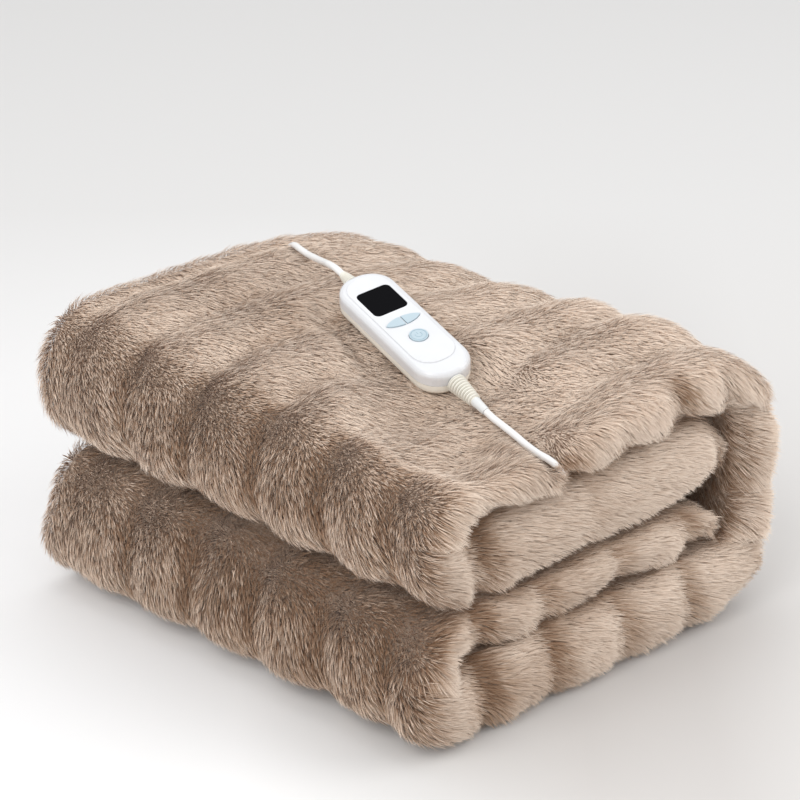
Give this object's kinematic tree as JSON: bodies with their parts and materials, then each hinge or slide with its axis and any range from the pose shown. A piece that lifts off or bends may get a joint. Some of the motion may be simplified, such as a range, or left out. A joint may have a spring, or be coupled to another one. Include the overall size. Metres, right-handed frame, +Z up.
{
  "type": "electric heated blanket",
  "caption": "Folded plush heated throw with a wired hand controller lying on top, its lead tucked into the front fold and its mains cord coiled behind.",
  "frame": {"origin": "middle of the folded blanket's base, on the surface that it rests on", "axes": "+X across the folds, from the two rounded folds to the big turn; +Y along the folds, from the rounded front to the parted back edges; +Z up"},
  "size_m": [0.3473, 0.4816, 0.2271],
  "materials": {
    "pile": "taupe faux-fur plush, 15 to 20 mm pile with dark roots",
    "shell": "white glossy moulding",
    "window": "black polished display window",
    "button": "pale blue satin keys",
    "relief": "ivory flexible moulding",
    "cord": "white satin cord jacket",
    "tie": "grey hook-and-loop tape",
    "plug": "white satin moulding",
    "blade": "bright brass"
  },
  "bodies": {
    "folded_blanket": {"blanket": "pile", "controller_lower_shell": "shell", "controller_upper_shell": "shell", "display_window": "window", "lead_strain_relief": "relief", "mains_strain_relief": "relief", "lead_cord": "cord", "mains_cord": "cord", "mains_cord_coil": "cord", "mains_cord_tail": "cord", "cord_tie": "tie", "plug_body": "plug", "plug_relief": "plug", "plug_blade_a": "blade", "plug_blade_b": "blade"},
    "warmer_key": {"button_warmer": "button"},
    "cooler_key": {"button_cooler": "button"},
    "power_key": {"button_power": "button"}
  },
  "joints": [
    {"name": "warmer_press", "type": "slide", "parent": "folded_blanket", "child": "warmer_key", "axis": [0.2149, 0.1988, -0.9562], "range_m": [0, 0.0007], "stiffness_N_per_m": 300},
    {"name": "cooler_press", "type": "slide", "parent": "folded_blanket", "child": "cooler_key", "axis": [0.2149, 0.1988, -0.9562], "range_m": [0, 0.0007], "stiffness_N_per_m": 300},
    {"name": "power_press", "type": "slide", "parent": "folded_blanket", "child": "power_key", "axis": [0.2149, 0.1988, -0.9562], "range_m": [0, 0.0007], "stiffness_N_per_m": 300}
  ]
}
